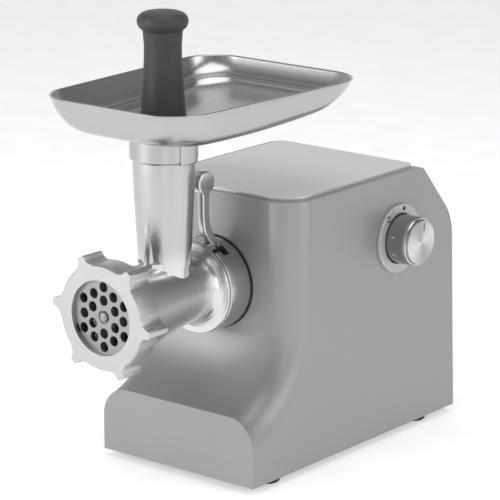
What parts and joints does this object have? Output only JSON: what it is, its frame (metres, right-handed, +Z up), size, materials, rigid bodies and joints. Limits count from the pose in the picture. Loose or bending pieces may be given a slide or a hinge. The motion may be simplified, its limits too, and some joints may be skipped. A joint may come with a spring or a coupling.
{
  "type": "electric meat grinder",
  "caption": "Countertop electric meat grinder: silver body with a dial, a pull-off grinding head with tray, pusher, auger, knife, hole plate and ring nut, geared motor inside.",
  "frame": {"origin": "on the floor, in the body's centre plane, below the front face of the upper body", "axes": "X across the body towards the dial, -Y towards the outlet, Z up"},
  "size_m": [0.1727, 0.3397, 0.3536],
  "materials": {
    "body_paint": "satin silver paint",
    "brushed_top": "finely brushed",
    "polished_cast": "polished casting",
    "satin_cast": "satin casting",
    "steel": "machined",
    "plate_steel": "ground",
    "chrome_trim": "bright",
    "bright_sheet": "polished sheet",
    "rubber": "matt",
    "black_plastic": "moulded",
    "dark_plastic": "moulded",
    "knob_plastic": "glossy",
    "nylon": "natural",
    "board": "lacquered",
    "copper": "enamelled wire",
    "bronze": "sintered",
    "lamination": "stacked sheet",
    "carbon": "carbon"
  },
  "bodies": {
    "casing": {"housing": "body_paint", "top_plate": "brushed_top", "rear_cover": "dark_plastic", "base_plate": "dark_plastic", "feet": "rubber", "foot_screws": "steel", "base_screws": "steel", "cover_screws": "steel", "cord_inlet": "rubber", "outlet_collar": "polished_cast", "collar_gasket": "rubber", "outlet_screws": "steel", "dial_bezel": "chrome_trim", "dial_seal": "black_plastic", "rotary_switch": "black_plastic", "control_board": "board", "board_parts": "black_plastic", "gear_case": "satin_cast", "gear_cover": "satin_cast", "case_screws": "steel", "spindle_bushes": "bronze", "layshaft_bushes": "bronze", "motor_bearings": "steel", "stator_core": "lamination", "field_coils": "copper", "motor_bracket": "satin_cast", "motor_screws": "steel", "brush_holders": "bronze", "carbon_brushes": "carbon", "brush_springs": "steel"},
    "rotor": {"armature_shaft": "steel", "armature_core": "lamination", "armature_windings": "copper", "commutator": "copper", "cooling_fan": "black_plastic", "motor_pinion": "steel"},
    "first_layshaft": {"layshaft_a": "steel", "second_pinion": "steel", "first_gear": "nylon"},
    "second_layshaft": {"layshaft_b": "steel", "third_pinion": "steel", "second_gear": "nylon"},
    "output": {"output_spindle": "steel", "output_gear": "steel"},
    "head": {"head_casting": "polished_cast", "cutting_plate": "plate_steel"},
    "feed_screw": {"auger": "satin_cast", "auger_stud": "steel", "auger_drive": "nylon", "thrust_washer": "nylon", "knife": "steel"},
    "nut": {"ring_nut": "satin_cast"},
    "feed_tray": {"tray": "bright_sheet", "tray_sleeve": "bright_sheet"},
    "food_pusher": {"pusher": "dark_plastic"},
    "lever": {"lock_lever": "chrome_trim"},
    "knob": {"knob_body": "knob_plastic", "knob_ring": "chrome_trim", "knob_disc": "brushed_top", "switch_spindle": "steel"}
  },
  "joints": [
    {"name": "motor_spin", "type": "hinge", "parent": "casing", "child": "rotor", "pos_m": [0, 0.115, 0.0675], "axis": [0, 1, 0], "continuous": true},
    {"name": "first_layshaft_spin", "type": "hinge", "parent": "casing", "child": "first_layshaft", "pos_m": [-0.02186, 0.05, 0.09484], "axis": [0, 1, 0], "continuous": true},
    {"name": "second_layshaft_spin", "type": "hinge", "parent": "casing", "child": "second_layshaft", "pos_m": [0.01472, 0.04, 0.08656], "axis": [0, 1, 0], "continuous": true},
    {"name": "output_spin", "type": "hinge", "parent": "casing", "child": "output", "pos_m": [0, 0.025, 0.1415], "axis": [0, 1, 0], "continuous": true},
    {"name": "head_pull", "type": "slide", "parent": "casing", "child": "head", "axis": [0, -1, 0], "range_m": [0, 0.035]},
    {"name": "auger_spin", "type": "hinge", "parent": "head", "child": "feed_screw", "pos_m": [0, -0.06, 0.1415], "axis": [0, 1, 0], "continuous": true},
    {"name": "nut_turn", "type": "hinge", "parent": "head", "child": "nut", "pos_m": [0, -0.118, 0.1415], "axis": [0, -1, 0], "range_deg": [0, 180]},
    {"name": "tray_lift", "type": "slide", "parent": "head", "child": "feed_tray", "axis": [0, 0, 1], "range_m": [0, 0.04]},
    {"name": "pusher_lift", "type": "slide", "parent": "feed_tray", "child": "food_pusher", "axis": [0, 0, 1], "range_m": [0, 0.085]},
    {"name": "lock_turn", "type": "hinge", "parent": "casing", "child": "lever", "pos_m": [0, -0.014, 0.1415], "axis": [0, 1, 0], "range_deg": [0, 20]},
    {"name": "dial_turn", "type": "hinge", "parent": "casing", "child": "knob", "pos_m": [0.08, 0.13, 0.16], "axis": [-1, 0, 0], "range_deg": [-45, 45]}
  ],
  "couplings": [
    {"joint": "first_layshaft_spin", "follows": "motor_spin", "ratio": -0.16667},
    {"joint": "second_layshaft_spin", "follows": "motor_spin", "ratio": 0.041667},
    {"joint": "output_spin", "follows": "motor_spin", "ratio": -0.010417},
    {"joint": "auger_spin", "follows": "motor_spin", "ratio": -0.010417}
  ]
}
